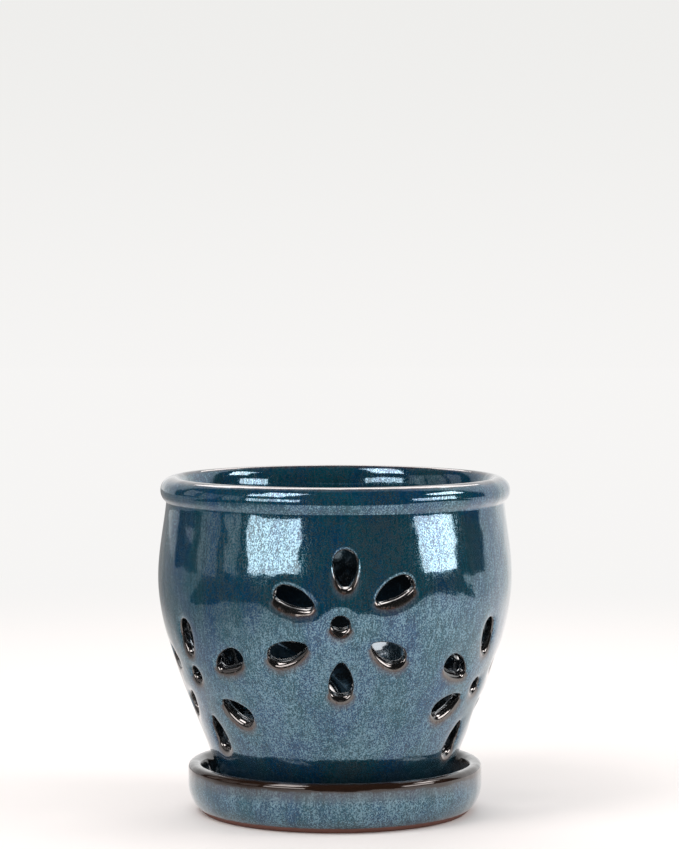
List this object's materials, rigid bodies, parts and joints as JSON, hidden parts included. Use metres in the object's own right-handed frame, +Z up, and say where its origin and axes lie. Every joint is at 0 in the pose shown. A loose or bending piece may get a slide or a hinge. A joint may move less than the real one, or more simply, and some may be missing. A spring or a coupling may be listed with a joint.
{
  "type": "orchid pot with saucer",
  "caption": "Glazed ceramic orchid pot with flower-shaped groups of air slots cut through its wall, a rolled lip and a drain hole, standing in a loose saucer.",
  "frame": {"origin": "middle of the saucer's foot, on the surface it stands on", "axes": "+Z up along the pot's axis; -Y is the front, with a high flower; +X is to the right of someone who looks at the front"},
  "size_m": [0.1672, 0.1672, 0.1585],
  "materials": {
    "pot_glaze": "glossy deep teal glaze that breaks to mottled grey-blue, with brown edges",
    "saucer_glaze": "glossy mottled grey-blue glaze with a brown rim line and a bare clay foot"
  },
  "bodies": {
    "saucer": {"saucer": "saucer_glaze"},
    "pot": {"pot": "pot_glaze"}
  },
  "joints": [
    {"name": "pot_lift", "type": "slide", "parent": "saucer", "child": "pot", "axis": [0, 0, 1], "range_m": [0, 0.04]}
  ]
}
